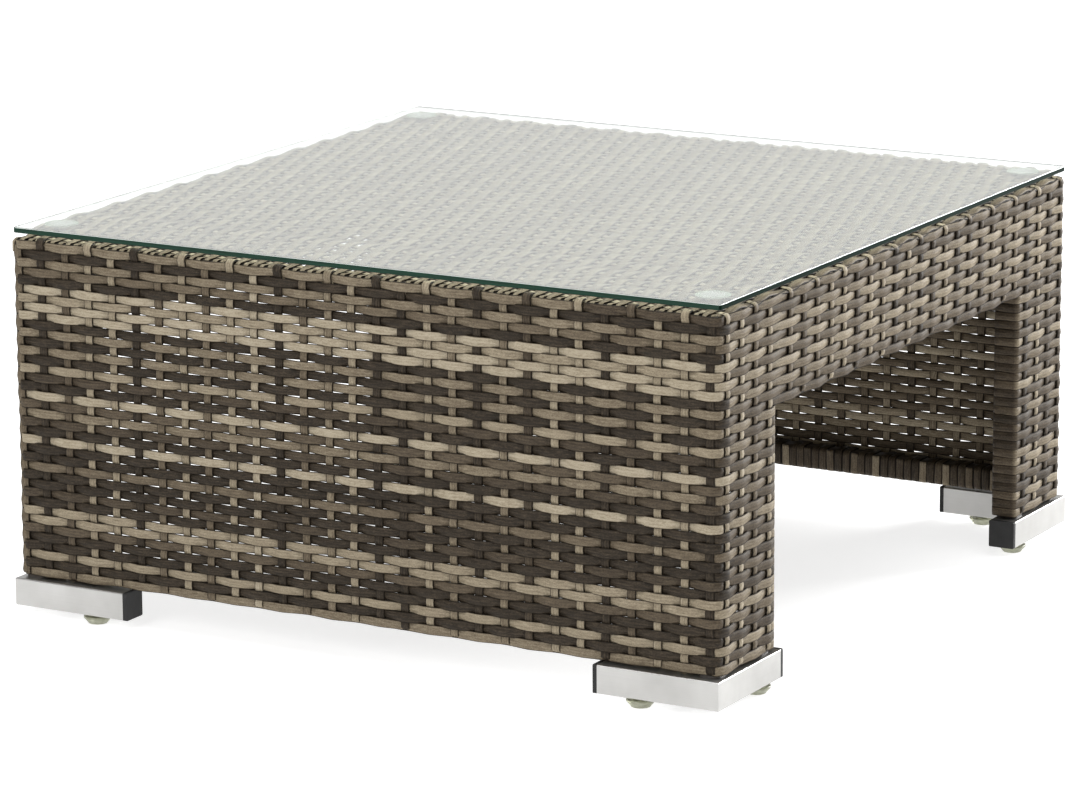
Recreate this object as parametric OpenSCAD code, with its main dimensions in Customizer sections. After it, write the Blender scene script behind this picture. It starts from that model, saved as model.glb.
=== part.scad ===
// Low square garden table. A welded frame of square tube is woven over with flat
// synthetic cane: the front and back are closed down to the feet, and the two sides
// are open under an apron. A loose glass plate lies on four clear discs, and four
// L-shaped metal feet carry screw-in levelling glides.
// X runs along the closed front, Y from front to back, and Z up from the floor.

/* [Overall] */
// Width of the woven body, along the closed front
body_w = 700; // [600:10:900]
// Depth of the woven body, from front to back
body_d = 700; // [600:10:900]
// Height of the glass surface above the floor
table_h = 350; // [320:5:450]

/* [Weave] */
// Thickness of the woven layer over the tubes
weave_t = 4; // [3:0.5:5]
// Outer radius of the woven edges
edge_r = 9; // [8:0.5:12]
// Thickness of the cane wound round a rail
wrap_t = 1.5; // [1:0.1:2]
// Height of the woven apron over each open side
apron_h = 97; // [80:1:130]
// Length of each woven leg, seen from the open side
leg_run = 101; // [90:1:140]

/* [Frame] */
// Side of the square frame tube
tube_w = 20; // [18:1:22]
// Wall of the frame tube
tube_wall = 1.5; // [1:0.1:2]
// Distance of each top brace from the middle of the table
brace_y = 115; // [60:5:160]

/* [Glass top] */
// Thickness of the glass plate
glass_t = 5; // [4:0.5:8]
// Inset of the glass plate from the outside of the weave
glass_inset = 2; // [0:0.5:10]
// Corner radius of the glass plate
glass_corner_r = 3; // [1:0.5:20]

/* [Suction discs] */
// Diameter of a clear disc
disc_d = 30; // [24:1:40]
// Height of a disc between the weave and the glass
disc_h = 2.5; // [2:0.1:4]
// Distance of a disc's centre from the side of the table
disc_in_x = 28; // [27:1:60]
// Distance of a disc's centre from the front or the back
disc_in_y = 40; // [32:1:60]
// Diameter of the plug under a disc
disc_plug_d = 6; // [4:0.5:8]

/* [Feet] */
// Side of the square foot tube
foot_w = 25; // [24:1:30]
// Wall of the foot tube
foot_wall = 1.5; // [1:0.1:2.5]
// Length of each arm of a foot, with its end cap
foot_run = 118; // [110:1:150]
// Dark gap between a foot and the weave over it
foot_gap = 2; // [1.5:0.1:4]
// How far a foot stands out at the open sides
foot_out_x = 1; // [0:0.5:3]
// How far a foot stands out at the front and the back
foot_out_y = 5; // [0:0.5:6]
// Thickness of an end cap's visible face
cap_t = 4; // [1.5:0.5:6]
// Length of an end cap's plug inside the foot
cap_plug_l = 12; // [8:1:15]

/* [Levelling glides] */
// Height of a glide between the foot and the floor
glide_h = 9; // [8:0.5:12]
// Largest diameter of a glide
glide_d = 25; // [20:1:28]
// Diameter of a glide where it meets the floor
glide_base_d = 18; // [14:1:20]
// Distance of the glide in the X arm from the foot's corner
glide_at_x = 79; // [70:1:85]
// Distance of the glide in the Y arm from the foot's corner
glide_at_y = 93; // [80:1:94]
// Diameter of a glide's stud
stud_d = 8; // [6:1:8]
// Length of a glide's stud above its collar
stud_l = 22; // [18:1:23]

/* [Hidden] */
$fn = 96;
eps = 1;
run_clear = 0.05;
push_clear = 0.1;
fine_r = 0.5;
tube_r = edge_r - weave_t;
foot_edge_r = 1.2;
collar_r = 6.5;
insert_flange_t = 1;
insert_body_r = 5.5;
insert_flange_r = 7;
insert_l = 10;
bolt_r = 3;
bolt_hole_r = 3.3;
bolt_head_r = 5.25;
bolt_head_t = 4;
bolt_key_w = 5;
bolt_l = 18;
bolt_access_r = 6.5;
bolt_at_x = 45;
bolt_at_y = 50;
nut_body_r = 4.5;
nut_flange_r = 6;
nut_l = 13;
disc_plug_l = 10;
disc_boss_r = 6;
disc_lip_w = 4;
disc_lip_t = 0.7;
glide_edge = 1;
glide_rim_t = 1;

// Heights of the levels, counted up from the floor
foot_z0 = glide_h;
foot_z1 = foot_z0 + foot_w;
weave_z0 = foot_z1 + foot_gap;
glass_z0 = table_h - glass_t;
weave_z1 = glass_z0 - disc_h;
face_z1 = weave_z1 - edge_r;
apron_z0 = weave_z1 - apron_h;
rail_z0 = weave_z0 + wrap_t;
tube_z1 = weave_z1 - weave_t;

// Outer faces of the tubes, centre lines of the tubes, and the feet's outer corners
face_x = body_w / 2 - weave_t;
face_y = body_d / 2 - weave_t;
line_x = face_x - tube_w / 2;
line_y = face_y - tube_w / 2;
inner_x = face_x - tube_w;
inner_y = face_y - tube_w;
leg_y = body_d / 2 - leg_run;
leg_post_y = leg_y + wrap_t + tube_w / 2;
foot_x = body_w / 2 + foot_out_x;
foot_y = body_d / 2 + foot_out_y;
bolt_x = line_x + 2;
bolt_y = line_y + 2;

// Each corner is its name and the signs of its X and Y
CORNERS = [["front_left", -1, -1], ["front_right", 1, -1], ["back_left", -1, 1], ["back_right", 1, 1]];
ENDS = [["front", -1], ["back", 1]];
SIDES = [["left", -1], ["right", 1]];
ARMS = ["x", "y"];

// Moves a piece made for the back right corner to corner c
module at_corner(c)
    mirror([c[1] < 0 ? 1 : 0, 0, 0]) mirror([0, c[2] < 0 ? 1 : 0, 0]) children();

module at_end(e) mirror([0, e[1] < 0 ? 1 : 0, 0]) children();

module at_side(s) mirror([s[1] < 0 ? 1 : 0, 0, 0]) children();

// A box given by its lowest and highest corners
module block(low, high) translate(low) cube(high - low);

// A rectangle round the origin with round corners
module rounded_rect(w, d, r) {
    square([w - 2 * r, d], center = true);
    square([w, d - 2 * r], center = true);
    for (x = [-1, 1], y = [-1, 1])
        translate([x * (w / 2 - r), y * (d / 2 - r)]) circle(r);
}

module tube_section(w, wall, r)
    difference() {
        rounded_rect(w, w, r);
        rounded_rect(w - 2 * wall, w - 2 * wall, max(r - wall, fine_r));
    }

module frame_tube(l) linear_extrude(l) tube_section(tube_w, tube_wall, tube_r);

module tube_up(x, y, z0, z1) translate([x, y, z0]) frame_tube(z1 - z0);

module tube_along_x(y, z, half) translate([-half, y, z]) rotate([0, 90, 0]) frame_tube(2 * half);

module tube_along_y(x, y0, y1, z) translate([x, y0, z]) rotate([-90, 0, 0]) frame_tube(y1 - y0);

// ---- Frame ----

// A corner post, its top ground round to match the top rails that are welded to it
module corner_post(c)
    color("#3b332c")
        intersection() {
            at_corner(c) tube_up(line_x, line_y, foot_z1, tube_z1);
            edged_block(2 * face_x, 2 * face_y, foot_z1, tube_z1, tube_r);
        }

module leg_post(c)
    color("#3b332c") at_corner(c) tube_up(line_x, leg_post_y, foot_z1, tube_z1 - tube_w);

module leg_rail(c)
    color("#3b332c") at_corner(c)
        difference() {
            tube_along_y(line_x, leg_post_y + tube_w / 2, inner_y, rail_z0 + tube_w / 2);
            rail_nut_hole(bolt_x, foot_y - bolt_at_y);
        }

module top_rail_end(e)
    color("#3b332c") at_end(e) tube_along_x(line_y, tube_z1 - tube_w / 2, inner_x);

module top_rail_side(s)
    color("#3b332c") at_side(s) tube_along_y(line_x, -inner_y, inner_y, tube_z1 - tube_w / 2);

module bottom_rail(e)
    color("#3b332c") at_end(e)
        difference() {
            tube_along_x(line_y, rail_z0 + tube_w / 2, inner_x);
            for (x = [-1, 1]) rail_nut_hole(x * (foot_x - bolt_at_x), bolt_y);
        }

module apron_rail(s)
    color("#3b332c") at_side(s)
        tube_along_y(line_x, -leg_post_y + tube_w / 2, leg_post_y - tube_w / 2,
                     apron_z0 + wrap_t + tube_w / 2);

module top_brace(e)
    color("#3b332c") at_end(e) tube_along_x(brace_y, tube_z1 - tube_w / 2, inner_x);

module rail_nut_hole(x, y)
    translate([x, y, rail_z0 - eps]) cylinder(r = nut_body_r, h = tube_wall + 2 * eps);

// ---- Weave ----

// Room in the wound cane for the flange of a rail nut
module nut_room(x, y)
    translate([x, y, weave_z0 - eps]) cylinder(r = nut_flange_r + 1, h = wrap_t + 2 * eps);

// The closed face with its two round upright edges, and the cane wound round its bottom rail
module woven_panel(e)
    color("#8c8273") at_end(e)
        difference() {
            union() {
                translate([0, 0, weave_z0])
                    linear_extrude(face_z1 - weave_z0)
                        intersection() {
                            difference() {
                                rounded_rect(body_w, body_d, edge_r);
                                rounded_rect(2 * face_x, 2 * face_y, tube_r);
                            }
                            translate([-body_w, body_d / 2 - edge_r]) square([2 * body_w, 2 * edge_r]);
                        }
                block([wrap_t - inner_x, inner_y - wrap_t, weave_z0],
                      [inner_x - wrap_t, face_y, rail_z0 + tube_w + wrap_t]);
            }
            block([-inner_x - eps, inner_y, rail_z0], [inner_x + eps, face_y, rail_z0 + tube_w]);
            for (x = [-1, 1]) nut_room(x * (foot_x - bolt_at_x), bolt_y);
        }

// The face of a leg, and the cane wound round its inner post and its short bottom rail
module woven_leg(c)
    color("#8c8273") at_corner(c)
        difference() {
            union() {
                block([face_x, leg_y, weave_z0], [body_w / 2, body_d / 2 - edge_r, face_z1]);
                block([inner_x - wrap_t, leg_y, weave_z0],
                      [face_x, leg_post_y + tube_w / 2 + wrap_t, apron_z0]);
                block([inner_x - wrap_t, leg_y, weave_z0], [face_x, inner_y, rail_z0 + tube_w + wrap_t]);
            }
            block([inner_x, leg_post_y - tube_w / 2, weave_z0 - eps],
                  [face_x, leg_post_y + tube_w / 2, apron_z0 + eps]);
            block([inner_x, leg_post_y, rail_z0], [face_x, inner_y + eps, rail_z0 + tube_w]);
            nut_room(bolt_x, foot_y - bolt_at_y);
        }

// The face of an apron, and the cane wound round the rail along its bottom
module woven_apron(s)
    color("#8c8273") at_side(s)
        difference() {
            union() {
                block([face_x, -leg_y, apron_z0], [body_w / 2, leg_y, face_z1]);
                block([inner_x - wrap_t, -leg_y, apron_z0],
                      [face_x, leg_y, apron_z0 + tube_w + 2 * wrap_t]);
            }
            block([inner_x, -leg_y - eps, apron_z0 + wrap_t],
                  [face_x, leg_y + eps, apron_z0 + wrap_t + tube_w]);
        }

// A block with round vertical edges and round top edges, made of three crossed sections
module edged_block(w, d, z0, z1, r)
    intersection() {
        translate([0, 0, z0]) linear_extrude(z1 - z0) rounded_rect(w, d, r);
        translate([0, d, 0]) rotate([90, 0, 0]) linear_extrude(2 * d) top_section(w, z0, z1, r);
        translate([-w, 0, 0]) rotate([90, 0, 90]) linear_extrude(2 * w) top_section(d, z0, z1, r);
    }

module top_section(w, z0, z1, r) {
    translate([-w / 2, z0]) square([w, z1 - r - z0]);
    translate([-w / 2 + r, z0]) square([w - 2 * r, z1 - z0]);
    for (x = [-1, 1]) translate([x * (w / 2 - r), z1 - r]) circle(r);
}

module woven_top()
    color("#8c8273")
        difference() {
            edged_block(body_w, body_d, apron_z0, weave_z1, edge_r);
            edged_block(2 * face_x, 2 * face_y, apron_z0 - eps, tube_z1, tube_r);
            block([-body_w, -body_d, 0], [body_w, body_d, face_z1]);
            for (c = CORNERS) at_corner(c)
                translate([body_w / 2 - disc_in_x, body_d / 2 - disc_in_y, face_z1 - eps])
                    cylinder(d = disc_plug_d + 4 * push_clear, h = edge_r + 2 * eps);
        }

// ---- Glass and its discs ----

module glass_top()
    color("#cfe3da", 0.4) translate([0, 0, glass_z0])
        linear_extrude(glass_t)
            rounded_rect(body_w - 2 * glass_inset, body_d - 2 * glass_inset, glass_corner_r);

module suction_disc(c)
    color("#e6ece8", 0.6) at_corner(c)
        translate([body_w / 2 - disc_in_x, body_d / 2 - disc_in_y, weave_z1])
            rotate_extrude()
                polygon([[0, -disc_plug_l], [disc_plug_d / 2 - fine_r, -disc_plug_l],
                         [disc_plug_d / 2, 2 * fine_r - disc_plug_l], [disc_plug_d / 2, 0],
                         [disc_boss_r, 0], [disc_boss_r + 1, disc_lip_t],
                         [disc_d / 2 - fine_r, disc_h - disc_lip_t], [disc_d / 2, disc_h - disc_lip_t / 2],
                         [disc_d / 2, disc_h], [disc_d / 2 - disc_lip_w, disc_h], [0, disc_h - disc_lip_t]]);

// ---- Feet ----

// Half of a mitred foot: the arm along X from the corner, cut back at 45 degrees
module foot_arm(outer) {
    side = outer ? foot_w : foot_w - 2 * foot_wall;
    back = outer ? 0 : foot_wall;
    reach = foot_run - cap_t + (outer ? 0 : eps);
    intersection() {
        translate([-reach, -foot_w / 2, foot_z0 + foot_w / 2]) rotate([0, 90, 0])
            linear_extrude(reach - back)
                rounded_rect(side, side, outer ? foot_edge_r : fine_r);
        translate([0, 0, foot_z0]) linear_extrude(foot_w)
            polygon([[0, 0], [-foot_w, -foot_w], [-2 * foot_run, -foot_w], [-2 * foot_run, 0]]);
    }
}

module both_arms() {
    children();
    mirror([1, -1, 0]) children();
}

module foot(c)
    color("#c9c8c3") at_corner(c) translate([foot_x, foot_y, 0])
        difference() {
            both_arms() foot_arm(true);
            both_arms() foot_arm(false);
            for (p = glide_places())
                translate([p[0], p[1], foot_z0 - eps]) cylinder(r = insert_body_r, h = foot_wall + 2 * eps);
            for (p = bolt_places()) translate([p[0], p[1], foot_z0 - eps]) {
                cylinder(r = bolt_access_r, h = foot_wall + 2 * eps);
                cylinder(r = bolt_hole_r, h = foot_w + 2 * eps);
            }
        }

// Places in a foot, counted from its outer corner
function glide_places() = [[-glide_at_x, -foot_w / 2], [-foot_w / 2, -glide_at_y]];
function bolt_places() = [[-bolt_at_x, bolt_y - foot_y], [bolt_x - foot_x, -bolt_at_y]];

module foot_cap(c, a)
    color("#2b2b29") at_corner(c) translate([foot_x, foot_y, 0]) mirror(a == "x" ? [0, 0, 0] : [1, -1, 0])
        translate([-foot_run, -foot_w / 2, foot_z0 + foot_w / 2]) rotate([0, 90, 0]) {
            plug_w = foot_w - 2 * foot_wall - 2 * push_clear;
            linear_extrude(cap_t) rounded_rect(foot_w, foot_w, foot_edge_r);
            linear_extrude(cap_t + cap_plug_l) rounded_rect(plug_w, plug_w, fine_r);
        }

module foot_bolts()
    color("#b9b9b4") for (c = CORNERS) at_corner(c) translate([foot_x, foot_y, 0])
        for (p = bolt_places()) translate([p[0], p[1], foot_z1 - foot_wall])
            difference() {
                union() {
                    translate([0, 0, -bolt_head_t]) cylinder(r = bolt_head_r, h = bolt_head_t);
                    cylinder(r = bolt_r, h = bolt_l);
                }
                translate([0, 0, -bolt_head_t - eps])
                    cylinder(d = bolt_key_w / cos(30), h = bolt_head_t / 2 + eps, $fn = 6);
            }

module rail_nuts()
    color("#c8b878") for (c = CORNERS) at_corner(c) translate([foot_x, foot_y, 0])
        for (p = bolt_places()) translate([p[0], p[1], rail_z0])
            difference() {
                union() {
                    translate([0, 0, -insert_flange_t]) cylinder(r = nut_flange_r, h = insert_flange_t);
                    translate([0, 0, -insert_flange_t])
                        cylinder(r = nut_body_r - run_clear, h = nut_l + insert_flange_t);
                }
                translate([0, 0, -2 * eps]) cylinder(r = bolt_r + run_clear, h = nut_l + 3 * eps);
            }

// ---- Levelling glides ----

module glide_inserts()
    color("#c8b878") for (c = CORNERS) at_corner(c) translate([foot_x, foot_y, 0])
        for (p = glide_places()) translate([p[0], p[1], foot_z0 - insert_flange_t])
            difference() {
                union() {
                    cylinder(r = insert_flange_r, h = insert_flange_t);
                    cylinder(r = insert_body_r - run_clear, h = insert_l + insert_flange_t);
                }
                translate([0, 0, -eps])
                    cylinder(r = stud_d / 2 + run_clear, h = insert_l + insert_flange_t + 2 * eps);
            }

// A moulded pad, flared like a dish, on a threaded steel stud with a round collar
module glide(c, a) {
    place = glide_places()[a == "x" ? 0 : 1];
    collar_z = foot_z0 - insert_flange_t;
    rim_z = collar_z - glide_rim_t;
    stud_z = collar_z + stud_l;
    color("#c3c6a8") at_corner(c) translate([foot_x + place[0], foot_y + place[1], 0])
        rotate_extrude()
            polygon([[0, 0], [glide_base_d / 2 - glide_edge, 0], [glide_base_d / 2, glide_edge],
                     [glide_d / 2 - fine_r, rim_z - 2 * glide_rim_t], [glide_d / 2, rim_z - glide_rim_t],
                     [glide_d / 2, rim_z - fine_r], [glide_d / 2 - fine_r, rim_z], [collar_r, rim_z],
                     [collar_r, collar_z], [stud_d / 2, collar_z], [stud_d / 2, stud_z - glide_edge],
                     [stud_d / 2 - glide_edge, stud_z], [0, stud_z]]);
}

for (c = CORNERS) {
    corner_post(c);
    leg_post(c);
    leg_rail(c);
    woven_leg(c);
    suction_disc(c);
    foot(c);
    for (a = ARMS) {
        foot_cap(c, a);
        glide(c, a);
    }
}
for (e = ENDS) {
    top_rail_end(e);
    bottom_rail(e);
    top_brace(e);
    woven_panel(e);
}
for (s = SIDES) {
    top_rail_side(s);
    apron_rail(s);
    woven_apron(s);
}
woven_top();
glass_top();
glide_inserts();
foot_bolts();
rail_nuts();
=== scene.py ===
import math
import random
from bisect import bisect_right

import bmesh
import bpy
from mathutils import Matrix, Vector


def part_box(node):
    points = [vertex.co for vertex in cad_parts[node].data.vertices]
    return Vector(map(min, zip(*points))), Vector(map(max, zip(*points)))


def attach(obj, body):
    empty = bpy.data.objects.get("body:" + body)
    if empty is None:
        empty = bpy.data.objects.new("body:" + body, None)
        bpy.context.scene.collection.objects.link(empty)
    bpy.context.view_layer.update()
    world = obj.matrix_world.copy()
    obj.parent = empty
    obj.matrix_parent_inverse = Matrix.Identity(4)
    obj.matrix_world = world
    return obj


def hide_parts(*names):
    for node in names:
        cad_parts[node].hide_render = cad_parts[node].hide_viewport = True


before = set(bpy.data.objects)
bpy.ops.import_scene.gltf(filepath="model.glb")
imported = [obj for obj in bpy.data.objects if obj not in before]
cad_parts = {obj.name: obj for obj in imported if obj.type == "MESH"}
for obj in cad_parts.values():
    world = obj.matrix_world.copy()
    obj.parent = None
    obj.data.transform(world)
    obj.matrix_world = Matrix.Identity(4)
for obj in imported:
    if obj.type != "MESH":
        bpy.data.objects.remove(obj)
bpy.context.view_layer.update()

scene = bpy.context.scene

# ---- Viewpoint ----
# A long lens to the front right of the table, looking down on it a little. The table's
# upright edges stay upright, and both the closed front and the open right side show.
AZIMUTH, ELEVATION, ROLL = 29.378, 13.236, 0.32
aim = Vector((0, 0, 0.184))
step_back = Vector((-0.0134, -0.0275, 4.567))
lens = bpy.data.cameras.new("viewpoint")
lens.lens = 167.8
lens.sensor_width = 36
viewpoint = bpy.data.objects.new("viewpoint", lens)
viewpoint.matrix_world = (
    Matrix.Translation(aim)
    @ Matrix.Rotation(math.radians(AZIMUTH), 4, "Z")
    @ Matrix.Rotation(math.radians(90 - ELEVATION), 4, "X")
    @ Matrix.Rotation(math.radians(-ROLL), 4, "Z")
    @ Matrix.Translation(step_back)
)
scene.collection.objects.link(viewpoint)
scene.camera = viewpoint

# ---- Studio ----
# A white room with a low even light, and four soft lamps: a wide one overhead, one at the
# right, one in front, and a weak one behind. The pale floor glows like a light table.
scene.view_settings.view_transform = "Standard"
room = bpy.data.worlds.new("white_room")
room.use_nodes = True
room.node_tree.nodes["Background"].inputs["Color"].default_value = (1, 1, 1, 1)
room.node_tree.nodes["Background"].inputs["Strength"].default_value = 0.28
scene.world = room


def soft_lamp(name, place, target, width, height, power):
    lamp = bpy.data.lights.new(name, "AREA")
    lamp.shape = "RECTANGLE"
    lamp.size = width
    lamp.size_y = height
    lamp.energy = power
    holder = bpy.data.objects.new(name, lamp)
    look = Vector(target) - Vector(place)
    holder.matrix_world = Matrix.Translation(place) @ look.to_track_quat("-Z", "Y").to_matrix().to_4x4()
    scene.collection.objects.link(holder)


soft_lamp("overhead_lamp", (0.3, -0.2, 3.2), (0, 0, 0), 3.0, 3.0, 110)
soft_lamp("right_lamp", (1.8, 3.3, 1.1), (0, 0, 0.2), 1.2, 1.2, 165)
soft_lamp("front_lamp", (-0.6, -3.6, 2.3), (0, 0, 0.2), 1.6, 1.6, 60)
soft_lamp("back_lamp", (-1.9, 3.3, 1.15), (0, 0, 0.4), 3.6, 1.6, 12)


class Wire:
    """One output of a material's node, so that a pattern is written as sums and products."""

    def __init__(self, finish, socket):
        self.finish = finish
        self.socket = socket

    def __add__(self, other):
        return self.finish.math("ADD", self, other)

    def __sub__(self, other):
        return self.finish.math("SUBTRACT", self, other)

    def __rsub__(self, other):
        return self.finish.math("SUBTRACT", other, self)

    def __mul__(self, other):
        return self.finish.math("MULTIPLY", self, other)

    def __abs__(self):
        return self.finish.math("ABSOLUTE", self)

    __radd__ = __add__
    __rmul__ = __mul__


class Finish:
    """A material in the making: one Principled shader and the nodes that feed it."""

    def __init__(self, name, **plain):
        self.material = bpy.data.materials.new(name)
        self.material.use_nodes = True
        self.tree = self.material.node_tree
        self.shader = self.tree.nodes["Principled BSDF"]
        for socket, value in plain.items():
            self.shader.inputs[socket.replace("_", " ")].default_value = value

    def node(self, kind, settings=None, sockets=None, output=0):
        made = self.tree.nodes.new("ShaderNode" + kind)
        for name, value in (settings or {}).items():
            if name == "stops":
                ramp = made.color_ramp
                while len(ramp.elements) < len(value):
                    ramp.elements.new(1)
                for element, (place, colour) in zip(ramp.elements, value):
                    element.position = place
                    element.color = (*colour, 1)
            else:
                setattr(made, name, value)
        for name, value in (sockets or {}).items():
            self.feed(made.inputs[name], value)
        return Wire(self, made.outputs[output])

    def feed(self, socket, value):
        if isinstance(value, Wire):
            self.tree.links.new(value.socket, socket)
        else:
            socket.default_value = value

    def math(self, operation, *values):
        return self.node("Math", {"operation": operation}, dict(enumerate(values)))

    def attribute(self, name):
        return self.node("Attribute", {"attribute_name": name}, output="Fac")

    def place(self, stretch=(1, 1, 1)):
        """The place on the table, in metres, stretched by a factor along each axis."""
        here = self.node("TexCoord", output="Object")
        return self.node("Mapping", {}, {"Vector": here, "Scale": stretch})

    def noise(self, where, scale=1.0, detail=2.0, roughness=0.5):
        return self.node("TexNoise", {}, {"Vector": where, "Scale": scale, "Detail": detail,
                                          "Roughness": roughness})

    def clamp(self, value):
        return self.node("Clamp", {}, {"Value": value})

    def ramp(self, value, *stops):
        return self.node("ValToRGB", {"stops": stops}, {"Fac": value})

    def bump(self, height, depth, strength=1.0):
        normal = self.node("Bump", {}, {"Height": height, "Distance": depth, "Strength": strength})
        self.feed(self.shader.inputs["Normal"], normal)

    def set(self, **wires):
        for socket, wire in wires.items():
            self.feed(self.shader.inputs[socket.replace("_", " ")], wire)


def grey(level):
    return (level, level, level)


def piece_from(bm, name, materials, smooth=True):
    mesh = bpy.data.meshes.new(name)
    bm.to_mesh(mesh)
    bm.free()
    for material in materials:
        mesh.materials.append(material)
    if smooth:
        mesh.polygons.foreach_set("use_smooth", [True] * len(mesh.polygons))
    made = bpy.data.objects.new(name, mesh)
    scene.collection.objects.link(made)
    return made


paper = Finish("floor_paper", Roughness=0.9, Emission_Color=(1, 1, 1, 1), Emission_Strength=0.78)
paper_grain = paper.noise(paper.place(), 900)
paper.set(Base_Color=paper.ramp(paper_grain, (0.3, grey(0.50)), (0.7, grey(0.54))))
paper.bump(paper_grain, 0.0002, 0.1)
floor_mesh = bmesh.new()
bmesh.ops.create_grid(floor_mesh, x_segments=8, y_segments=8, size=16)
floor = piece_from(floor_mesh, "studio_floor", [paper.material], smooth=False)

# ---- Frame tubes ----
# Square steel tube, welded and powder coated dark brown, so that what shows between the
# canes disappears. The coating has a fine orange peel and a little dust on it.
coat = Finish("brown_powder_coat", Metallic=0.0, IOR=1.5)
coat_peel = coat.noise(coat.place(), 1400, 1)
coat_dust = coat.noise(coat.place((1, 1, 0.4)), 30, 4, 0.65)
coat.set(Base_Color=coat.ramp(coat_dust, (0.35, (0.030, 0.023, 0.018)), (0.75, (0.062, 0.052, 0.042))),
         Roughness=0.38 + coat_dust * 0.3)
coat.bump(coat_peel, 0.0003, 0.35)
TUBES = ("corner_post", "leg_post", "leg_rail", "top_rail", "bottom_rail", "apron_rail", "top_brace")


def coat_parts(starts, material):
    """Gives a material to every part whose name starts in one of the ways given."""
    for name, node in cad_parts.items():
        if name.startswith(starts):
            node.data.materials.clear()
            node.data.materials.append(material)


coat_parts(TUBES, coat.material)

# ---- Bolts and threaded inserts ----
# Zinc plated steel: the bolts that hold the feet are passivated clear, and the threaded
# inserts and nuts that are pressed into the tubes are passivated yellow.


def plated(name, pale, deep):
    plate = Finish(name, Metallic=1.0)
    cloud = plate.noise(plate.place(), 260, 3, 0.6)
    plate.set(Base_Color=plate.ramp(cloud, (0.3, deep), (0.7, pale)), Roughness=0.28 + cloud * 0.25)
    plate.bump(cloud, 0.0002, 0.2)
    return plate.material


clear_zinc = plated("clear_zinc", (0.66, 0.67, 0.68), (0.48, 0.49, 0.51))
yellow_zinc = plated("yellow_zinc", (0.72, 0.60, 0.34), (0.55, 0.44, 0.24))
coat_parts("foot_bolts", clear_zinc)
coat_parts(("rail_nuts", "glide_inserts"), yellow_zinc)

# ---- Feet ----
# L-shaped feet of square aluminium tube, mitred, welded, ground and satin anodised. The
# satin lines run along the tube, and handling leaves the metal a little cloudy.
satin = Finish("satin_aluminium", Metallic=1.0)
satin_lines = satin.noise(satin.place((6, 6, 1500)), 1, 3, 0.6)
satin_cloud = satin.noise(satin.place(), 22, 3, 0.55)
satin.set(Base_Color=satin.ramp(satin_cloud + satin_lines * 0.3 - 0.15,
                                (0.25, (0.45, 0.445, 0.43)), (0.75, (0.57, 0.565, 0.55))),
          Roughness=0.30 + satin_lines * 0.16)
satin.bump(satin_lines, 0.0001, 0.25)

# Black moulded plugs close the ends of the feet: an injection moulded nylon with a fine
# spark texture, rubbed smoother where it is handled.
nylon = Finish("black_nylon", IOR=1.5, Specular_IOR_Level=0.25)
nylon_spark = nylon.noise(nylon.place(), 2600, 2)
nylon_rub = nylon.noise(nylon.place(), 60, 3, 0.6)
nylon.set(Base_Color=nylon.ramp(nylon_rub, (0.3, grey(0.016)), (0.75, grey(0.034))),
          Roughness=0.42 + nylon_rub * 0.25)
nylon.bump(nylon_spark, 0.0002, 0.4)
coat_parts("foot_cap", nylon.material)
coat_parts(("foot_front", "foot_back"), satin.material)

# ---- Levelling glides ----
# Each is a dished pad of cloudy plastic, moulded on the round collar of a steel stud that
# screws up into the foot. The pad is turned by spinning its outline, and the stud's
# thread is a saw-tooth outline spun the same way.
pad_plastic = Finish("cloudy_plastic", IOR=1.49, Transmission_Weight=0.6)
pad_cloud = pad_plastic.noise(pad_plastic.place(), 180, 3, 0.6)
pad_plastic.set(Base_Color=pad_plastic.ramp(pad_cloud,
                                            (0.3, (0.42, 0.43, 0.29)), (0.7, (0.70, 0.71, 0.56))),
                Roughness=0.22 + pad_cloud * 0.25)
pad_plastic.bump(pad_cloud, 0.0003, 0.25)


def turned(name, outline, centre, material, steps):
    """Spins an outline of (radius, height) points round an upright line through centre."""
    bm = bmesh.new()
    points = [bm.verts.new((centre.x + radius, centre.y, height)) for radius, height in outline]
    edges = [bm.edges.new(pair) for pair in zip(points, points[1:])]
    bmesh.ops.spin(bm, geom=points + edges, cent=centre, axis=(0, 0, 1), angle=math.tau,
                   steps=steps, use_merge=True)
    bmesh.ops.remove_doubles(bm, verts=bm.verts[:], dist=1e-6)
    bmesh.ops.recalc_face_normals(bm, faces=bm.faces[:])
    return piece_from(bm, name, [material])


PAD_HEIGHT = 0.0070
THREAD_STEP = 0.00125
THREAD_DEPTH = 0.0007
for name in [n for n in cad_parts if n.startswith("glide_") and n != "glide_inserts"]:
    low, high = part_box(name)
    centre = (low + high) / 2
    rim = (high.x - low.x) / 2
    body = name.replace("glide", "leveller")
    base, top = low.z, low.z + PAD_HEIGHT
    pad = turned(
        name.replace("glide", "glide_pad"),
        [(0, base + 0.0012), (0.0035, base + 0.0012), (0.0042, base + 0.0003), (0.0072, base),
         (0.0086, base + 0.0004), (0.0092, base + 0.0014), (rim - 0.0004, base + 0.0048),
         (rim, base + 0.0055), (rim - 0.0001, top - 0.0003), (rim - 0.0005, top),
         (rim - 0.0016, top - 0.0001), (rim - 0.0022, top - 0.0007), (0.0076, top - 0.0009),
         (0.0069, top - 0.0002), (0.0064, top), (0, top)],
        centre, pad_plastic.material, 40)
    teeth = int((high.z - top - 0.0045) / THREAD_STEP)
    outline = [(0, top - 0.0004), (0.0062, top - 0.0004), (0.0065, top), (0.0065, top + 0.0008),
               (0.0062, top + 0.0010), (0.0036, top + 0.0010)]
    for tooth in range(teeth):
        height = top + 0.0025 + tooth * THREAD_STEP
        outline += [(0.0040 - THREAD_DEPTH, height), (0.0040, height + THREAD_STEP / 2)]
    outline += [(0.0032, high.z - 0.0006), (0.0026, high.z), (0, high.z)]
    stud = turned(name.replace("glide", "glide_stud"), outline, centre, clear_zinc, 24)
    for made, slot in ((pad, "glide_pad"), (stud, "zinc")):
        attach(made, body)
        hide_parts(name)

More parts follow.
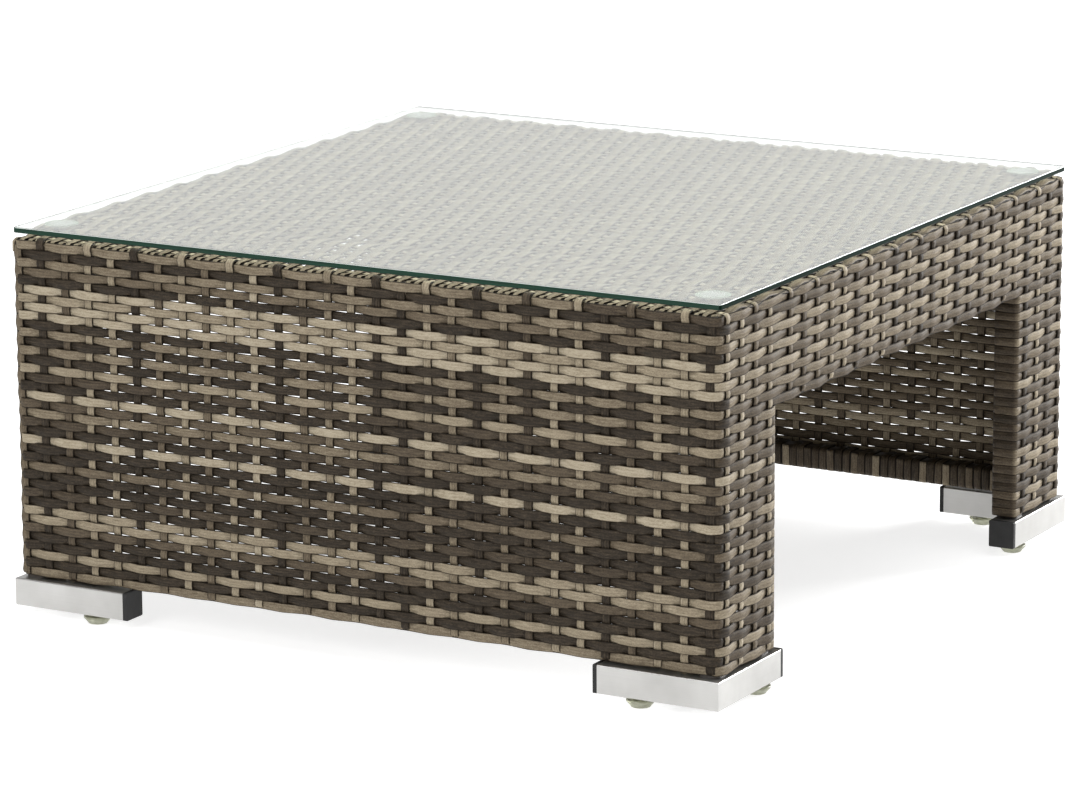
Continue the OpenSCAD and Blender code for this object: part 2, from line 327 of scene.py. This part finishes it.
# ---- Cane: the strips themselves ----
# All the weaving is flat strip of solid plastic cane, about 8 mm wide, extruded with a low
# crown, fine ribs and a streaky grain, and cut to length. Every strip has its own tone, from
# dark umber to a weathered bone, with painted shade at its edges and where it goes under, and a
# painted highlight just inside its edges.
CANE_T = 0.0013
CANE_CROWN = 0.0002
CANE_TWIST = 0.00012
RISE = 1.35                           # a strip stands off more than it sinks in
UMBER, BARK, OAK, STRAW, BONE = (
    (0.020, 0.015, 0.010), (0.060, 0.045, 0.030), (0.128, 0.100, 0.067), (0.272, 0.226, 0.157),
    (0.400, 0.345, 0.255))
cane = Finish("plastic_cane", IOR=1.48, Specular_IOR_Level=0.16)
tone = cane.attribute("tone")
along = cane.attribute("along")
across = cane.attribute("across")
strand = cane.attribute("strand")
over = cane.attribute("over")


def on_strip(length_scale, width_scale, strand_scale):
    """The place on a strip of cane, so that a pattern runs along the strip and differs on each."""
    return cane.node("CombineXYZ", {}, {0: along * length_scale, 1: across * width_scale,
                                        2: strand * strand_scale})


streaks = cane.noise(on_strip(110, 2.6, 9), 1, 4, 0.6)
grain = cane.noise(on_strip(650, 5.0, 7), 1, 4, 0.8)
patches = cane.noise(on_strip(9, 0.3, 5), 1, 2, 0.5)
ribs = cane.math("COSINE", across * 9.4)
# painted shade: the colour is darkened along the strip's edges, where the rows meet
painted_edge_shade = cane.clamp(abs(across) * 6 - 5)
# painted highlight: a lighter band just inside the darkened edges
painted_edge_highlight = cane.clamp(abs(across) * 4 - 2.6)
# painted shade: the colour is darkened where the strip goes under its neighbours
painted_under_shade = cane.clamp(over * -9 - 7.4)
level = (tone + (streaks - 0.5) * 0.55 + (grain - 0.5) * 0.95 + (patches - 0.5) * 0.2 + ribs * 0.03
         + painted_edge_highlight * 0.07 - painted_edge_shade * 0.9 - painted_under_shade * 0.6)
cane.set(Base_Color=cane.ramp(level, (0.0, UMBER), (0.22, BARK), (0.5, OAK), (0.8, STRAW), (1.0, BONE)),
         Roughness=0.48 + streaks * 0.2)
cane.bump(streaks + grain * 0.6 + ribs * 0.25, 0.0006, 0.35)


class Route:
    """A flat line through corner points, each (a, b, radius), that strips of cane follow.
    Its outer side is on the right of the way it runs."""

    def __init__(self, corners):
        self.parts = []
        self.length = 0.0
        spots = [Vector(c[:2]) for c in corners]
        turns = []                    # for each corner, where its bend starts, ends and is centred
        for i, (_, _, radius) in enumerate(corners):
            if i in (0, len(corners) - 1):
                turns.append((spots[i], spots[i], None))
                continue
            back = (spots[i - 1] - spots[i]).normalized()
            on = (spots[i + 1] - spots[i]).normalized()
            half = back.angle(on) / 2
            reach = radius / math.tan(half)
            middle = spots[i] + (back + on).normalized() * (radius / math.sin(half))
            turns.append((spots[i] + back * reach, spots[i] + on * reach, (middle, radius)))
        for here, there in zip(turns, turns[1:]):
            self.add_run(here[1], there[0])
            if there[2]:
                self.add_bend(*there)

    def add_run(self, start, end):
        gap = (end - start).length
        if gap > 1e-9:
            self.parts.append((self.length, gap, start, (end - start) / gap, None))
            self.length += gap

    def add_bend(self, start, end, round_part):
        middle, radius = round_part
        first = start - middle
        sweep = first.angle_signed(end - middle)
        gap = abs(sweep) * radius
        self.parts.append((self.length, gap, middle, first, -sweep))
        self.length += gap

    def at(self, distance):
        """The place at a distance along the line, and the way that its outer side faces."""
        distance = min(max(distance, 0.0), self.length)
        for start, gap, point, way, sweep in reversed(self.parts):
            if distance >= start - 1e-12:
                break
        share = (distance - start) / gap
        if sweep is None:
            spot = point + way * (distance - start)
            return spot.x, spot.y, way.y, -way.x
        turned_way = Matrix.Rotation(sweep * share, 2) @ way
        spot = point + turned_way
        out = turned_way.normalized()
        if sweep < 0:
            out = -out
        return spot.x, spot.y, out.x, out.y

    def nearest(self, a, b):
        """The distance along the straight runs at which the line passes closest to a place."""
        best = None
        for start, gap, point, way, sweep in self.parts:
            if sweep is None:
                run = min(max((Vector((a, b)) - point).dot(way), 0.0), gap)
                off = (point + way * run - Vector((a, b))).length
                if best is None or off < best[0]:
                    best = (off, start + run)
        return best[1]


def wave_at(marks, distance, flat=1.8):
    """How far over (1) or under (-1) a strip lies between marks of (distance, over or under)."""
    i = bisect_right(marks, (distance, 9)) - 1
    if i < 0:
        return marks[0][1]
    if i >= len(marks) - 1:
        return marks[-1][1]
    (start, this), (end, after) = marks[i], marks[i + 1]
    c = (this + after) / 2 + (this - after) / 2 * math.cos(math.pi * (distance - start) / (end - start))
    return c / math.sqrt(c * c + flat * (1 - c * c)) if c else 0.0


class Weave:
    """The strips of one woven piece, laid one by one, and then given their thickness."""

    def __init__(self, seed):
        self.bm = bmesh.new()
        names = ("tone", "along", "across", "strand", "over")
        self.marks = {name: self.bm.verts.layers.float.new(name) for name in names}
        self.dice = random.Random(seed)

    def lay(self, plane, stations, waves, lift, centre, width, tone, lean=0.0, sway=0.0003, closed=False):
        """Lays a strip. plane is its two flat axes, stations its (a, b, out a, out b, distance),
        waves how far over (1) or under (-1) it is, lift how far that stands off, centre its
        place across the plane, lean how far its far edge (below 0, its near edge) is pressed
        in, and sway how far it wanders to the side. Lift, centre, width and tone are one
        number, or one for each station."""
        lift, centre, width, tone = (each if isinstance(each, list) else [each] * len(stations)
                                     for each in (lift, centre, width, tone))
        first, second = Vector(plane[0]), Vector(plane[1])
        side = first.cross(second)
        start = self.dice.uniform(0, 9)
        strand = self.dice.uniform(0, 9)
        turn = [self.dice.uniform(0, math.tau) for _ in range(4)]
        beat = [self.dice.uniform(20, 45), self.dice.uniform(60, 130)]
        last = len(stations) - 1
        made = bmesh.ops.create_grid(self.bm, x_segments=last, y_segments=2, size=1)["verts"]
        for vert in made:
            i = round((vert.co.x + 1) / 2 * last)
            v = round(vert.co.y)
            a, b, out_a, out_b, distance = stations[i]
            loose = min(1.0, i / 8, (last - i) / 8) if closed else 1.0
            drift = sway * (math.sin(distance * beat[0] + turn[0]) + math.sin(distance * beat[1] + turn[1]))
            half = width[i] / 2 * (1 + 0.02 * loose * math.sin(distance * beat[0] * 2 + turn[2]))
            twist = v * CANE_TWIST * loose * math.sin(distance * beat[1] + turn[3])
            off = (lift[i] * waves[i] * (RISE if waves[i] > 0 else 1) + CANE_CROWN * (1 - v * v) + twist
                   - abs(lean) * max(v if lean > 0 else -v, 0))
            vert.co = (first * (a + out_a * off) + second * (b + out_b * off)
                       + side * (centre[i] + drift * loose + v * half))
            vert[self.marks["tone"]] = tone[i]
            vert[self.marks["over"]] = waves[i]
            vert[self.marks["along"]] = start + distance
            vert[self.marks["across"]] = v
            vert[self.marks["strand"]] = strand
        if closed:
            ends = [v for v in made if v.is_boundary]
            bmesh.ops.remove_doubles(self.bm, verts=ends, dist=2e-4)

    def finish(self, name, slot, nodes, body="table"):
        """Thickens the strips inwards. Where a strip's outer face lies over, its inner one is under."""
        outer = set(self.bm.verts)
        self.bm.normal_update()
        bmesh.ops.solidify(self.bm, geom=self.bm.faces[:], thickness=CANE_T)
        for vert in self.bm.verts:
            if vert not in outer:
                vert[self.marks["over"]] *= -1
        made = piece_from(self.bm, name, [cane.material])
        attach(made, body)
        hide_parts(*nodes)


def stations_along(route, step):
    """Stations a step or so apart along a route: (a, b, out a, out b, distance)."""
    count = max(1, round(route.length / step))
    return [(*route.at(route.length * i / count), route.length * i / count) for i in range(count + 1)]


# ---- Rows right round the table ----
# Twelve rows close the aprons and the top of the panels in one go: each is a hoop that
# passes over and under the 112 uprights in turn, 29 at the front and back and 27 at each
# side, and it is joined behind the back.
top_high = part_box("woven_top")[1]
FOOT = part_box("woven_panel_front")[0].z     # lower edge of the panels and legs
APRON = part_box("woven_apron_right")[0].z    # lower edge of the aprons
LAYER = 0.00225                       # from the outside of the weave to its middle
SIDE = top_high.x - LAYER             # middle of the weave on the left and right faces
FACE = top_high.y - LAYER             # middle of the weave on the front and back faces
DECK = top_high.z - LAYER             # middle of the weave on top
EDGE_R = 0.0065
LIFT = 0.0014                         # how far a row stands off where it passes over
ROWS = 38
APRON_ROWS = 12
ROW_TOP = DECK - 0.0013
APRON_PITCH = (ROW_TOP - APRON) / APRON_ROWS
PANEL_PITCH = (APRON - FOOT - 0.0006) / (ROWS - APRON_ROWS)
FRONT_UPRIGHTS = 29
SIDE_UPRIGHTS = 27
LEG_UPRIGHTS = 4
STATION = 0.0246 / 7                  # seven stations from one upright to the next
HOOP_JOINT = -0.012
TIGHT, SLACK = 0.0004, -0.00025       # how much wider than the pitch of the rows a row is
SWELL = 0.0002                        # how much wider a row shows where it passes over
X, Y, Z = (1, 0, 0), (0, 1, 0), (0, 0, 1)
# The tone of each strip is a letter, from u for umber to w for weathered. The rows are
# named from the top down, across the front and round the rest of the table.
TONES = {"u": 0.06, "b": 0.20, "k": 0.33, "o": 0.47, "t": 0.60, "s": 0.76, "w": 0.90}
FRONT_ROWS = "tutouwswwututusbuwktbuwuuouubusskuusut"
SIDE_ROWS = "obtsksksotkbtbtkbsbobksbbtukbutsobusbt"
FRONT_FIRST, FRONT_STEP, FRONT_STRAY = -0.3425, 0.02436, 0.0007
LEG_FIRST, LEG_STEP = -0.3345, 0.0255
BAY_FIRST, BAY_STEP, SIDE_STRAY = -0.2190, 0.0254, 0.0010
jitter = random.Random(7)
front_x = [FRONT_FIRST + FRONT_STEP * k + jitter.uniform(-FRONT_STRAY, FRONT_STRAY)
           for k in range(FRONT_UPRIGHTS)]
side_y = [(LEG_FIRST + LEG_STEP * i if i < LEG_UPRIGHTS else BAY_FIRST + BAY_STEP * (i - LEG_UPRIGHTS))
          + jitter.uniform(-SIDE_STRAY, SIDE_STRAY) for i in range(SIDE_UPRIGHTS)]


def row_height(row):
    if row <= APRON_ROWS:
        return ROW_TOP - (row - 0.5) * APRON_PITCH
    return APRON - (row - APRON_ROWS - 0.5) * PANEL_PITCH


def row_sign(row, upright):
    """1 where a row passes over an upright, counted round the table from the front left."""
    return 1 if (row + upright) % 2 else -1


def row_widths(stations, waves, pitch):
    """Widths of a row: beaten down tight, but for the left of the front, and the back."""
    slack = [y > FACE - 0.01 or (y < 0.01 - FACE and -0.27 < x < 0.04) for x, y, _, _, _ in stations]
    return [pitch + (SLACK if loose else TIGHT) + SWELL * w for loose, w in zip(slack, waves)]


def tone_of(letters, i):
    return TONES[letters[i % len(letters)]]


def row_tones(stations, row):
    """Tones of a row: one strip right across the front, and another one round the rest.
    The first row is pieced out with a dark strip near the right end of the front. Across the
    back a row is painted lighter, a painted light, and where it turns into a leg it is painted
    darker, a painted shade."""
    front, rest = tone_of(FRONT_ROWS, row - 1), tone_of(SIDE_ROWS, row - 1) * 0.8 + 0.14
    pieced = front if row > 1 else TONES["b"]
    # painted light lifts the back of each row, and painted shade darkens the ends turned into the legs
    return [(front if x < 0.21 else pieced) if y < side_y[0] else rest * 0.95 + 0.12 if y > side_y[-1]
            else rest * 0.42 if abs(x) < SIDE - 0.002 else rest for x, y, _, _, _ in stations]


def calm(waves, stations):
    """Presses the rows flat where they are pulled tight round the corners of the table."""
    return [w * (0.35 if abs(x) > SIDE - EDGE_R and abs(y) > FACE - EDGE_R else 1)
            for w, (x, y, _, _, _) in zip(waves, stations)]


hoop = Route([(HOOP_JOINT, FACE, 0), (-SIDE, FACE, EDGE_R), (-SIDE, -FACE, EDGE_R),
              (SIDE, -FACE, EDGE_R), (SIDE, FACE, EDGE_R), (HOOP_JOINT, FACE, 0)])
BEFORE_JOINT = FRONT_UPRIGHTS // 2
round_the_table = (
    [(x, FACE) for x in reversed(front_x[:BEFORE_JOINT])]
    + [(-SIDE, y) for y in reversed(side_y)]
    + [(x, -FACE) for x in front_x]
    + [(SIDE, y) for y in side_y]
    + [(x, FACE) for x in reversed(front_x[BEFORE_JOINT:])]
)
first_front = BEFORE_JOINT + SIDE_UPRIGHTS
hoop_marks = [(hoop.nearest(*spot), row_sign(0, j - first_front)) for j, spot in enumerate(round_the_table)]
hoop_marks = [(0.0, 0)] + hoop_marks + [(hoop.length, 0)]
hoop_stations = stations_along(hoop, STATION)
hoop_wave = calm([wave_at(hoop_marks, s[4]) for s in hoop_stations], hoop_stations)
hoops = Weave(11)
for row in range(1, APRON_ROWS + 1):
    waves = [-w if row % 2 else w for w in hoop_wave]
    hoops.lay((X, Y), hoop_stations, waves, LIFT, row_height(row),
              row_widths(hoop_stations, waves, APRON_PITCH), row_tones(hoop_stations, row), sway=0.0002,
              closed=True)
hoops.finish("cane_rows_round_the_table", "cane", ("woven_apron_left", "woven_apron_right"))

# ---- Rows of the closed panels and the legs ----
# Below the apron each row starts inside one leg, is turned round the leg's inner post,
# runs round the corner, across the panel and round the other corner, and ends inside the
# other leg.
LEG_R = 0.0030
LEG_TUCK = 0.016                      # how far a row's end goes into its leg
LEG_END = -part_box("woven_leg_front_right")[1].y - 0.0035  # where a leg ends at the open side
INNER = SIDE - 0.0238                 # inner side of what is wound round the tubes


def panel_route(end):
    """The way of a panel's rows, for the front (end -1) or the back (end 1)."""
    inside, edge, face = end * (LEG_END + LEG_TUCK), end * LEG_END, end * FACE
    corners = [(-INNER, inside, 0), (-INNER, edge, LEG_R), (-SIDE, edge, LEG_R), (-SIDE, face, EDGE_R),
               (SIDE, face, EDGE_R), (SIDE, edge, LEG_R), (INNER, edge, LEG_R), (INNER, inside, 0)]
    return Route(corners if end < 0 else corners[::-1])


for end, place in ((-1, "front"), (1, "back")):
    route = panel_route(end)
    legs = side_y[:LEG_UPRIGHTS] if end < 0 else side_y[-LEG_UPRIGHTS:]
    on_left, on_right = [(-SIDE, y) for y in reversed(legs)], [(SIDE, y) for y in legs]
    spots = (on_left + [(x, -FACE) for x in front_x] + on_right if end < 0
             else on_right + [(x, FACE) for x in reversed(front_x)] + on_left)
    first = -LEG_UPRIGHTS if end < 0 else FRONT_UPRIGHTS + SIDE_UPRIGHTS - LEG_UPRIGHTS
    marks = [(route.nearest(*spot), row_sign(0, first + j)) for j, spot in enumerate(spots)]
    edges = [route.nearest(way * SIDE, end * (LEG_END + LEG_R)) for way in (end, -end)]
    marks = [(0.0, 0), (edges[0], 0)] + marks + [(edges[1], 0), (route.length, 0)]
    stations = stations_along(route, STATION)
    wave = calm([wave_at(marks, s[4]) for s in stations], stations)
    rows = Weave(21 + end)
    for row in range(APRON_ROWS + 1, ROWS + 1):
        waves = [-w if row % 2 else w for w in wave]
        lift = LIFT * (0.6 if row == ROWS else 1)       # the last one is drawn in to the rail
        rows.lay((X, Y), stations, waves, lift, row_height(row), row_widths(stations, waves, PANEL_PITCH),
                 row_tones(stations, row), sway=0.00012)
    rows.finish("cane_rows_" + place, "cane",
                ("woven_panel_" + place, f"woven_leg_{place}_left", f"woven_leg_{place}_right"))

# ---- Uprights of the closed panels ----
# Each upright is wound round the bottom rail, goes up the panel under and over the rows,
# over the top rail, and is tucked in under the first cane across the top.
UPRIGHT_W = 0.0078
UPRIGHT_LIFT = 0.0006
WRAP = 0.0007                         # from the lower edge of the weave to a band's middle
TUCK = 0.0215                         # how far an upright's end goes up inside the rail
RAIL_R = 0.004
TOP_R = 0.0035
ROW_PITCH = 0.0080
NEG_X, NEG_Y = (-1, 0, 0), (0, -1, 0)
FRONT_CANES = "oukssuososwuotsuustutbssukssu"     # tones from left to right


def shade_of(dice):
    return dice.choice((0.05, 0.12, 0.3, 0.45, 0.6, 0.75, 0.85))


for end, place in ((-1, "front"), (1, "back")):
    out = NEG_Y if end < 0 else Y
    route = Route([(INNER, FOOT + TUCK, 0), (INNER, FOOT + WRAP, RAIL_R), (FACE, FOOT + WRAP, RAIL_R),
                   (FACE, DECK, TOP_R), (FACE - 0.024, DECK, 0)])
    row_marks = [(route.nearest(FACE, row_height(row)), -row_sign(row, 0)) for row in range(ROWS, 0, -1)]
    stations = stations_along(route, ROW_PITCH / 4)
    uprights = Weave(31 + end)
    dice = random.Random(5 + end)
    for k, x in enumerate(front_x):
        index = k if end < 0 else FRONT_UPRIGHTS + SIDE_UPRIGHTS + (FRONT_UPRIGHTS - 1 - k)
        flip = -1 if index % 2 else 1
        over_edge = row_marks[-1][1] * flip
        marks = [(0.0, 0), (row_marks[0][0] - ROW_PITCH, 0)]
        marks += [(s, sign * flip) for s, sign in row_marks]
        marks += [(route.nearest(FACE - 0.004, DECK), over_edge), (route.nearest(FACE - 0.013, DECK), -1),
                  (route.length, -1)]
        waves = [wave_at(marks, s[4]) for s in stations]
        lifts = [UPRIGHT_LIFT * (2.2 if s[4] > row_marks[-1][0] else 1) for s in stations]
        colour = tone_of(FRONT_CANES, k) if end < 0 else shade_of(dice) * 0.6 + 0.15
        uprights.lay((out, Z), stations, waves, lifts, x if end > 0 else -x, UPRIGHT_W, colour)
    uprights.finish("cane_uprights_" + place, "cane", ("woven_panel_" + place,))

# ---- Uprights of the sides, which are also the canes across the top ----
# Each one starts under an apron or a leg, goes up the right side, across the whole top,
# and down the left side. Across the top it passes under and over 87 rows.
DECK_ROWS = 87
SIDE_CANES = "swosokossbssusubtubbkoousbb"         # tones from front to back


def deck_x(m):
    return SIDE + 0.0002 - ROW_PITCH * (m - 0.5)


def side_marks(route, low_row, i):
    marks = []
    for row in range(low_row, 0, -1):
        marks.append((route.nearest(SIDE, row_height(row)), -row_sign(row, FRONT_UPRIGHTS + i)))
    for m in range(1, DECK_ROWS + 1):
        marks.append((route.nearest(deck_x(m), DECK), -row_sign(1 - m, FRONT_UPRIGHTS + i)))
    for row in range(1, low_row + 1):
        marks.append((route.nearest(-SIDE, row_height(row)),
                      -row_sign(row, 2 * FRONT_UPRIGHTS + 2 * SIDE_UPRIGHTS - 1 - i)))
    return marks


sides = Weave(41)
for i, y in enumerate(side_y):
    on_leg = i < LEG_UPRIGHTS or i >= SIDE_UPRIGHTS - LEG_UPRIGHTS
    low = FOOT if on_leg else APRON
    low_row = ROWS if on_leg else APRON_ROWS
    wrap = low + WRAP
    route = Route([(INNER, low + TUCK, 0), (INNER, wrap, RAIL_R), (SIDE, wrap, RAIL_R),
                   (SIDE, DECK, TOP_R), (-SIDE, DECK, TOP_R), (-SIDE, wrap, RAIL_R),
                   (-INNER, wrap, RAIL_R), (-INNER, low + TUCK, 0)])
    marks = side_marks(route, low_row, i)
    marks = ([(0.0, 0), (marks[0][0] - ROW_PITCH, 0)] + marks
             + [(marks[-1][0] + ROW_PITCH, 0), (route.length, 0)])
    stations = stations_along(route, ROW_PITCH / 3)
    waves = [wave_at(marks, s[4]) for s in stations]
    shade = tone_of(SIDE_CANES, i)
    # Across the top the canes are painted lighter: a painted highlight where they show through the glass.
    shades = [shade if height < DECK - 0.002 else 0.62 + shade * 0.25 for _, height, _, _, _ in stations]
    sides.lay((X, Z), stations, waves, UPRIGHT_LIFT, -y, UPRIGHT_W, shades)
sides.finish("cane_uprights_sides_and_top", "cane",
             ("woven_leg_front_left", "woven_leg_front_right", "woven_leg_back_left",
              "woven_leg_back_right", "woven_apron_left", "woven_apron_right", "woven_top"))

# ---- Rows of the top ----
# 87 rows run from the back edge to the front edge over and under the canes across, and
# are bent down over the end rails behind the first row of the panels. There they are
# drawn together to narrow slanting ends.
DECK_BEND = FACE - 0.0012
DECK_TIP = ROW_TOP - 0.011
DECK_SKEW = 0.005                     # how far aslant the drawn-in ends are
DECK_END = 0.022                      # how long they are
DECK_NARROW = 0.0043                  # how much narrower
DECK_STATION = 0.0262 / 6             # six stations from one cane to the next
deck_route = Route([(DECK_BEND, DECK_TIP, 0), (DECK_BEND, DECK, TOP_R),
                    (-DECK_BEND, DECK, TOP_R), (-DECK_BEND, DECK_TIP, 0)])
deck_marks = [(deck_route.nearest(y, DECK), row_sign(0, i)) for i, y in enumerate(side_y)][::-1]
deck_marks = ([(0.0, 0), (deck_route.nearest(FACE - 0.004, DECK), 0)] + deck_marks
              + [(deck_route.nearest(0.004 - FACE, DECK), 0), (deck_route.length, 0)])
deck_stations = stations_along(deck_route, DECK_STATION)
deck_wave = [wave_at(deck_marks, s[4]) for s in deck_stations]
deck_pull = [min(1.0, max(0.0, (DECK_END - min(s[4], deck_route.length - s[4])) / (DECK_END - 0.008)))
             for s in deck_stations]
dice = random.Random(13)
for part, rows_here in (("left", range(44, DECK_ROWS + 1)), ("right", range(1, 44))):
    deck = Weave(51 + len(part))
    for m in rows_here:
        waves = [w if m % 2 else -w for w in deck_wave]
        edge_row = m in (1, DECK_ROWS)
        centres = [deck_x(m) - DECK_SKEW * pull for pull in deck_pull]
        widths = [ROW_PITCH - 0.0001 + 0.0003 * w - DECK_NARROW * pull for w, pull in zip(waves, deck_pull)]
        shade = 0.42 if edge_row else 0.38 + 0.2 * shade_of(dice)
        # Painted highlight on the crowns of the rows and painted shade where they go under; the drawn-in
        # ends are painted lighter, a painted highlight on the bent edge.
        tones = [shade + 0.14 * w + (0.78 - shade) * pull for w, pull in zip(waves, deck_pull)]
        deck.lay((Y, Z), deck_stations, waves, LIFT, centres, widths, tones,
                 lean=0 if not edge_row else 0.0018 if m == 1 else -0.0018)
    deck.finish("cane_rows_top_" + part, "cane", ("woven_top",))

# ---- Canes wound round the rails ----
# What the weaving leaves bare of the rails is wound with short bands of the same cane,
# two between each pair of uprights, in whatever tone was at hand.


def wound_bands(name, plane, route, places, seed, nodes):
    winding = Weave(seed)
    dice = random.Random(seed)
    bends = sorted(s for start, gap, _, _, sweep in route.parts if sweep is not None
                   for s in (start, start + gap / 2, start + gap))
    stations = [(*route.at(s), s) for s in [0.0] + bends + [route.length]]
    for centre in places:
        winding.lay(plane, stations, [0.0] * len(stations), 0.0, centre, BAND_W,
                    shade_of(dice) * 0.28 + 0.07, sway=0.0002)
    winding.finish(name, "cane", nodes)


def between(places, pitch_parts=3):
    """The places that split each gap between uprights into equal parts."""
    return [a + (b - a) * part / pitch_parts for a, b in zip(places, places[1:])
            for part in range(1, pitch_parts)]


RAIL_OUT = FACE - 0.003
RAIL_W = 0.0230 - WRAP
TOP_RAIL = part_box("top_rail_front")[0].z - 0.0008
BAND_W = 0.0076
BAND_STEP = 0.00804


def rail_wrap(low):
    """Three sides of a rail whose fourth is under the weaving."""
    return Route([(RAIL_OUT, low + RAIL_W, 0), (INNER, low + RAIL_W, RAIL_R), (INNER, low + WRAP, RAIL_R),
                  (RAIL_OUT, low + WRAP, 0)])


top_wrap = Route([(INNER, DECK - 0.003, 0), (INNER, TOP_RAIL, RAIL_R), (RAIL_OUT, TOP_RAIL, 0)])
rail_bands = [-0.3215 + BAND_STEP * n for n in range(81)]
for end, place in ((-1, "front"), (1, "back")):
    plane = (NEG_Y if end < 0 else Y, Z)
    wound_bands("wound_bottom_rail_" + place, plane, rail_wrap(FOOT), [end * x for x in between(front_x)],
                61 + end, ("woven_panel_" + place,))
    wound_bands("wound_top_rail_" + place, plane, top_wrap, rail_bands, 64 + end, ("woven_top",))
for end, place in ((-1, "left"), (1, "right")):
    plane = (NEG_X if end < 0 else X, Z)
    bays = between(side_y)
    apron_bays = [-end * y for y in bays if abs(y) < LEG_END - 0.004]
    wound_bands("wound_apron_rail_" + place, plane, rail_wrap(APRON), apron_bays, 67 + end,
                ("woven_apron_" + place,))
    wound_bands("wound_top_rail_" + place, plane, top_wrap, rail_bands, 70 + end, ("woven_top",))
    for far, corner in ((-1, "front"), (1, "back")):
        leg_bays = [-end * y for y in bays if LEG_END + 0.022 < far * y < FACE - 0.022]
        wound_bands(f"wound_leg_rail_{corner}_{place}", plane, rail_wrap(FOOT), leg_bays,
                    74 + 2 * end + far, (f"woven_leg_{corner}_{place}",))

# ---- Suction discs ----
# Four clear vinyl discs keep the glass off the cane. Each has a plug pushed into the
# weaving, and a thin lip that clings to the glass. They are moulded in one piece.
vinyl = Finish("clear_vinyl", IOR=1.45, Transmission_Weight=0.8)
vinyl_cloud = vinyl.noise(vinyl.place(), 240, 3, 0.6)
vinyl.set(Base_Color=vinyl.ramp(vinyl_cloud, (0.3, (0.76, 0.76, 0.72)), (0.7, (0.92, 0.92, 0.88))),
          Roughness=0.12 + vinyl_cloud * 0.2)
vinyl.bump(vinyl_cloud, 0.0003, 0.2)
coat_parts("suction_disc", vinyl.material)

# ---- Glass plate ----
# Clear float glass, 5 mm thick, with its corners cut round and its edges ground and
# polished. Seen on edge it is dark green. It lies loose on the discs, and it has the
# faint smears that wiping leaves.
GLASS_CORNER = 0.003
GLASS_ARRIS = 0.0006
glass_low, glass_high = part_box("glass_top")
GLASS_T = glass_high.z - glass_low.z


def clear_glass():
    """Glass that mirrors and bends what is seen in it, and lets the lamps shine through."""
    glass = Finish("clear_glass", Base_Color=(0.93, 0.97, 0.95, 1), IOR=1.5, Transmission_Weight=1.0)
    smear = glass.noise(glass.place((1, 3, 1)), 9, 4, 0.6)
    glass.set(Roughness=smear * 0.03)
    glass.bump(smear, 0.0004, 0.05)
    let_through = glass.node("BsdfTransparent", {}, {"Color": (0.90, 0.95, 0.92, 1)})
    lamp_ray = glass.node("LightPath", output="Is Shadow Ray")
    seen = Wire(glass, glass.shader.outputs[0])
    both = glass.node("MixShader", {}, {0: lamp_ray, 1: seen, 2: let_through})
    glass.tree.links.new(both.socket, glass.tree.nodes["Material Output"].inputs["Surface"])
    return glass.material


def edge_glass(name, deep, pale):
    rim = Finish(name, IOR=1.5, Specular_IOR_Level=0.2)
    depth = rim.noise(rim.place((1, 1, 30)), 26, 3, 0.6)
    rim.set(Base_Color=rim.ramp(depth, (0.3, deep), (0.75, pale)), Roughness=0.08 + depth * 0.08)
    return rim.material


def painted_lit_edge_glass(name, deep, pale):
    """The edge that faces the light: its upper part is painted pale, a painted highlight standing for the
    light that the plate leads to it.
    """
    rim = Finish(name, IOR=1.12, Specular_IOR_Level=0.2)
    height = rim.node("SeparateXYZ", {}, {0: rim.place()}, output="Z")
    share = (height - glass_low.z) * (1 / GLASS_T)
    cloud = rim.noise(rim.place((1, 1, 30)), 26, 3, 0.6)
    rim.set(Base_Color=rim.ramp(share + (cloud - 0.5) * 0.2, (0.78, deep), (0.88, pale)),
            Roughness=0.08 + cloud * 0.1)
    return rim.material


dark_rim = edge_glass("glass_edge", (0.001, 0.018, 0.009), (0.004, 0.040, 0.021))
# painted highlight along the upper part of the right-hand edge
painted_lit_rim = painted_lit_edge_glass("glass_edge_painted_lit", (0.004, 0.014, 0.009), (0.45, 0.50, 0.47))
ground_rim = edge_glass("glass_arris", (0.62, 0.68, 0.65), (0.80, 0.85, 0.82))
# the same ground arris painted darker for the back and left edges: painted shade
painted_shade_arris = edge_glass("glass_arris_painted_shade", (0.20, 0.23, 0.21), (0.32, 0.36, 0.34))
plate = bmesh.new()
bmesh.ops.create_cube(plate, size=1)
bmesh.ops.scale(plate, verts=plate.verts[:], vec=glass_high - glass_low)
bmesh.ops.translate(plate, verts=plate.verts[:], vec=(glass_high + glass_low) / 2)
upright_edges = [e for e in plate.edges if abs(e.verts[0].co.z - e.verts[1].co.z) > 1e-4]
bmesh.ops.bevel(plate, geom=upright_edges, offset=GLASS_CORNER, affect="EDGES", segments=6, profile=0.5,
                material=-1)
arris = [e for e in plate.edges if abs(e.verts[0].co.z - e.verts[1].co.z) < 1e-6
         and any(abs(f.normal.z) > 0.9 for f in e.link_faces)]
bmesh.ops.bevel(plate, geom=arris, offset=GLASS_ARRIS, affect="EDGES", segments=2, profile=0.5, material=-1)
# Each face takes its glass by the way it faces: the right-hand edge takes the painted highlight, and the
# arrises turned to the back and left take the darker copy, a painted shade.
for face in plate.faces:
    way = face.normal
    turned_away = way.y > 0.1 or way.x < -0.1
    face.material_index = (0 if abs(way.z) > 0.9 else 4 if way.z > 0.3 and turned_away else 3 if way.z > 0.3
                           else 2 if way.x > 0.5 else 1)
glass_plate = piece_from(plate, "glass_plate", [clear_glass(), dark_rim, painted_lit_rim, ground_rim, painted_shade_arris],
                         smooth=False)
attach(glass_plate, "glass")
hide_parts("glass_top")
